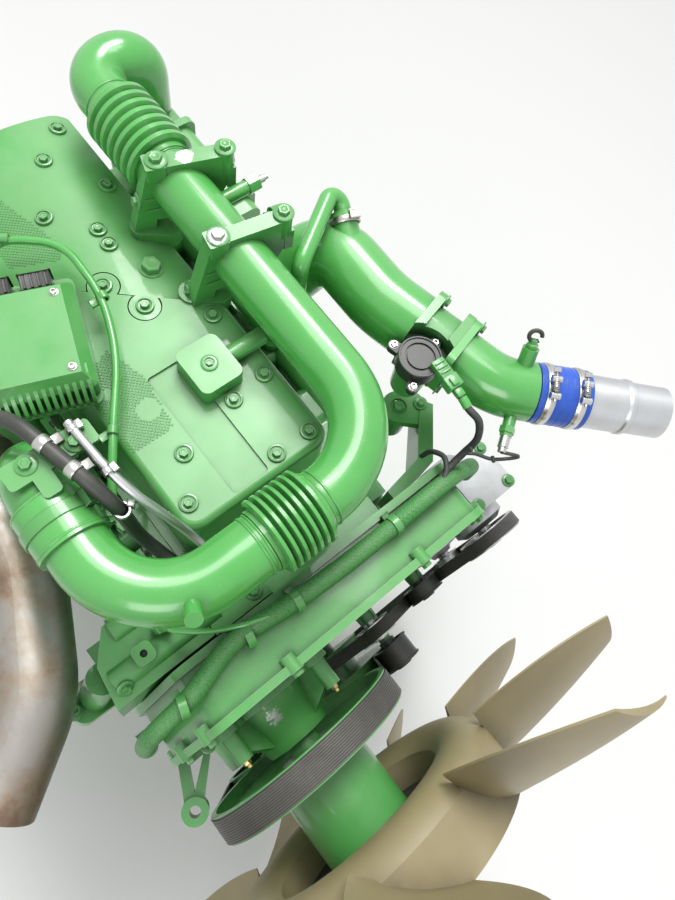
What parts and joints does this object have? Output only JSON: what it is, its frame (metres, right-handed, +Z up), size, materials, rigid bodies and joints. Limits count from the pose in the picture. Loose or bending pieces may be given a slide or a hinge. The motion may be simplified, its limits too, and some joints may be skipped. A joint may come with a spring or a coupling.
{
  "type": "six-cylinder diesel engine",
  "caption": "Inline diesel engine with a gas pipe round its rocker cover, belt drives on the front and a large bladed cooling fan.",
  "frame": {"origin": "centre of the flywheel housing's rear face, on the crankshaft axis", "axes": "+X along the crankshaft towards the fan, +Y to the intake side, +Z up"},
  "size_m": [1.4577, 1.3008, 1.22],
  "materials": {
    "engine_paint": "gloss enamel",
    "fan_plastic": "moulded nylon",
    "black_plastic": "moulded",
    "belt_rubber": "ribbed belt",
    "hose_rubber": "smooth",
    "blue_silicone": "silicone",
    "bare_aluminium": "brushed",
    "heat_steel": "heat tinted",
    "machined_steel": "machined",
    "cast_grey": "bare casting",
    "filter_paint": "gloss",
    "loom_braid": "braided sleeve, painted over"
  },
  "bodies": {
    "engine": {"accessory_belt": "belt_rubber", "alternator": "bare_aluminium", "breather_line": "engine_paint", "charge_hose": "blue_silicone", "charge_tube": "bare_aluminium", "compressor": "bare_aluminium", "control_unit": "engine_paint", "control_unit_bracket": "engine_paint", "coolant_hoses": "hose_rubber", "crossover_pipe": "engine_paint", "cylinder_block": "engine_paint", "cylinder_head": "engine_paint", "engine_feet": "engine_paint", "exhaust_elbow": "heat_steel", "exhaust_manifold": "engine_paint", "fan_belt": "belt_rubber", "fan_drive_housing": "engine_paint", "flywheel_housing": "engine_paint", "front_rocker_cover": "engine_paint", "front_support_bracket": "engine_paint", "fuel_filter_header": "engine_paint", "fuel_filters": "filter_paint", "fuel_pump": "engine_paint", "gas_bellows": "engine_paint", "gas_cooler": "engine_paint", "gas_pipe": "engine_paint", "gas_riser": "engine_paint", "gear_housing": "engine_paint", "hose_clip_plate": "engine_paint", "inlet_elbow": "engine_paint", "intake_manifold": "engine_paint", "lifting_brackets": "engine_paint", "mixing_pipe": "engine_paint", "oil_cooler": "engine_paint", "oil_filter": "filter_paint", "oil_pan": "engine_paint", "pipe_brackets": "engine_paint", "rear_pipe": "engine_paint", "rear_rocker_cover": "engine_paint", "side_pipe": "engine_paint", "starter_motor": "engine_paint", "throttle_actuator": "black_plastic", "throttle_body": "engine_paint", "turbocharger": "cast_grey", "vent_line": "bare_aluminium", "water_outlet": "engine_paint", "wiring_loom": "loom_braid"},
    "crankshaft": {"flywheel": "machined_steel", "crank_pulley": "engine_paint"},
    "fan_rotor": {"fan_pulley": "engine_paint", "fan_plate": "black_plastic", "fan": "fan_plastic"},
    "alternator_rotor": {"alternator_pulley": "machined_steel"},
    "compressor_rotor": {"compressor_pulley": "machined_steel"},
    "tensioner_wheel": {"tensioner_pulley": "black_plastic"},
    "idler_wheel": {"idler_pulley": "machined_steel"},
    "fan_tensioner_wheel": {"fan_tensioner_pulley": "black_plastic"},
    "water_pump_rotor": {"water_pump_pulley": "engine_paint"}
  },
  "joints": [
    {"name": "crank_turn", "type": "hinge", "parent": "engine", "child": "crankshaft", "pos_m": [1.19, 0, 0], "axis": [1, 0, 0], "continuous": true},
    {"name": "fan_turn", "type": "hinge", "parent": "engine", "child": "fan_rotor", "pos_m": [1.219, -0.155, 0.35], "axis": [1, 0, 0], "continuous": true},
    {"name": "alternator_turn", "type": "hinge", "parent": "engine", "child": "alternator_rotor", "pos_m": [1.15, 0.374, 0.04], "axis": [1, 0, 0], "continuous": true},
    {"name": "compressor_turn", "type": "hinge", "parent": "engine", "child": "compressor_rotor", "pos_m": [1.15, 0.385, 0.29], "axis": [1, 0, 0], "continuous": true},
    {"name": "tensioner_turn", "type": "hinge", "parent": "engine", "child": "tensioner_wheel", "pos_m": [1.15, 0.232, 0.195], "axis": [1, 0, 0], "continuous": true},
    {"name": "idler_turn", "type": "hinge", "parent": "engine", "child": "idler_wheel", "pos_m": [1.15, 0.092, 0.215], "axis": [1, 0, 0], "continuous": true},
    {"name": "fan_tensioner_turn", "type": "hinge", "parent": "engine", "child": "fan_tensioner_wheel", "pos_m": [1.219, 0.116, 0.126], "axis": [1, 0, 0], "continuous": true},
    {"name": "water_pump_turn", "type": "hinge", "parent": "engine", "child": "water_pump_rotor", "pos_m": [1.219, -0.245, 0.092], "axis": [1, 0, 0], "continuous": true}
  ],
  "couplings": [
    {"joint": "alternator_turn", "follows": "crank_turn", "ratio": 2.7241},
    {"joint": "compressor_turn", "follows": "crank_turn", "ratio": 1.463},
    {"joint": "tensioner_turn", "follows": "crank_turn", "ratio": -2.3235},
    {"joint": "idler_turn", "follows": "crank_turn", "ratio": 2.3235},
    {"joint": "fan_turn", "follows": "crank_turn", "ratio": 0.6718},
    {"joint": "fan_tensioner_turn", "follows": "crank_turn", "ratio": -2.8692},
    {"joint": "water_pump_turn", "follows": "crank_turn", "ratio": 2.162}
  ]
}
